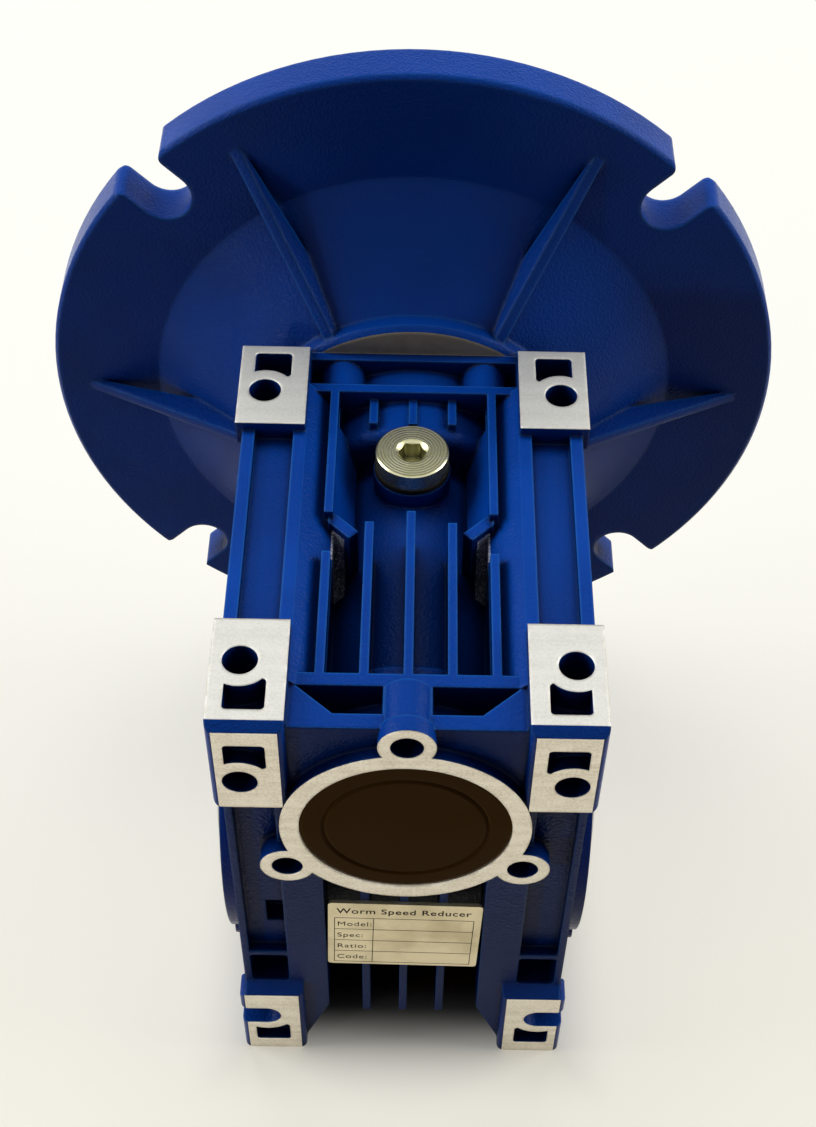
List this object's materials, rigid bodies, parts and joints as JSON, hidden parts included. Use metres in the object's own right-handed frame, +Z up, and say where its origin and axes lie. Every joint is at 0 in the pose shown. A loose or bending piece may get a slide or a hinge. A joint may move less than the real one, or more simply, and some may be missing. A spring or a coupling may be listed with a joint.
{
  "type": "worm gear reducer",
  "caption": "Right-angle worm gear reducer with finned square housing, hollow keyed output shaft and round motor flange with open slots.",
  "frame": {"origin": "centre of the output bore, midway between its ends", "axes": "+X along the output shaft towards the side cover, +Y along the worm towards the motor flange, +Z up from the feet"},
  "size_m": [0.162, 0.13, 0.171],
  "materials": {
    "blue_paint": "gloss blue paint over die-cast aluminium, machined pads left bare",
    "ground_steel": "hardened and ground steel",
    "bronze": "cut tin bronze",
    "grey_iron": "turned cast iron",
    "black_rubber": "matte black nitrile rubber",
    "brown_rubber": "satin dark brown rubber",
    "dark_steel": "blackened steel",
    "bearing_steel": "polished bearing steel",
    "yellow_zinc": "yellow zinc plating",
    "washer_metal": "soft aluminium",
    "plate_metal": "satin aluminium"
  },
  "bodies": {
    "housing": {"housing": "blue_paint", "side_cover": "blue_paint", "motor_flange": "blue_paint", "cover_o_ring": "black_rubber", "cover_screws": "dark_steel", "flange_screws": "dark_steel", "rear_circlip": "dark_steel", "input_circlip": "dark_steel", "output_seal_left": "black_rubber", "output_seal_right": "black_rubber", "input_seal": "black_rubber", "rear_end_cap": "brown_rubber", "filler_plug": "yellow_zinc", "plug_washer": "washer_metal", "nameplate": "plate_metal", "worm_rear_bearing_outer_ring": "bearing_steel", "worm_input_bearing_outer_ring": "bearing_steel", "wheel_left_bearing_outer_ring": "bearing_steel", "wheel_right_bearing_outer_ring": "bearing_steel"},
    "worm": {"worm_shaft": "ground_steel", "worm_rear_bearing_inner_ring": "bearing_steel", "worm_input_bearing_inner_ring": "bearing_steel"},
    "wheel": {"wheel_hub": "grey_iron", "wheel_rim": "bronze", "wheel_left_bearing_inner_ring": "bearing_steel", "wheel_right_bearing_inner_ring": "bearing_steel"},
    "worm_rear_balls": {"worm_rear_bearing_balls": "bearing_steel"},
    "worm_input_balls": {"worm_input_bearing_balls": "bearing_steel"},
    "wheel_left_balls": {"wheel_left_bearing_balls": "bearing_steel"},
    "wheel_right_balls": {"wheel_right_bearing_balls": "bearing_steel"}
  },
  "joints": [
    {"name": "worm_spin", "type": "hinge", "parent": "housing", "child": "worm", "pos_m": [0, 0, 0.04], "axis": [0, 1, 0], "continuous": true},
    {"name": "wheel_spin", "type": "hinge", "parent": "housing", "child": "wheel", "pos_m": [0, 0, 0], "axis": [1, 0, 0], "continuous": true},
    {"name": "worm_rear_balls_roll", "type": "hinge", "parent": "housing", "child": "worm_rear_balls", "pos_m": [0, -0.0358, 0.04], "axis": [0, 1, 0], "continuous": true},
    {"name": "worm_input_balls_roll", "type": "hinge", "parent": "housing", "child": "worm_input_balls", "pos_m": [0, 0.0372, 0.04], "axis": [0, 1, 0], "continuous": true},
    {"name": "wheel_left_balls_roll", "type": "hinge", "parent": "housing", "child": "wheel_left_balls", "pos_m": [-0.025, 0, 0], "axis": [1, 0, 0], "continuous": true},
    {"name": "wheel_right_balls_roll", "type": "hinge", "parent": "housing", "child": "wheel_right_balls", "pos_m": [0.025, 0, 0], "axis": [1, 0, 0], "continuous": true}
  ],
  "couplings": [
    {"joint": "wheel_spin", "follows": "worm_spin", "ratio": 0.033333},
    {"joint": "worm_rear_balls_roll", "follows": "worm_spin", "ratio": 0.38298},
    {"joint": "worm_input_balls_roll", "follows": "worm_spin", "ratio": 0.41139},
    {"joint": "wheel_left_balls_roll", "follows": "worm_spin", "ratio": 0.013824},
    {"joint": "wheel_right_balls_roll", "follows": "worm_spin", "ratio": 0.013824}
  ]
}
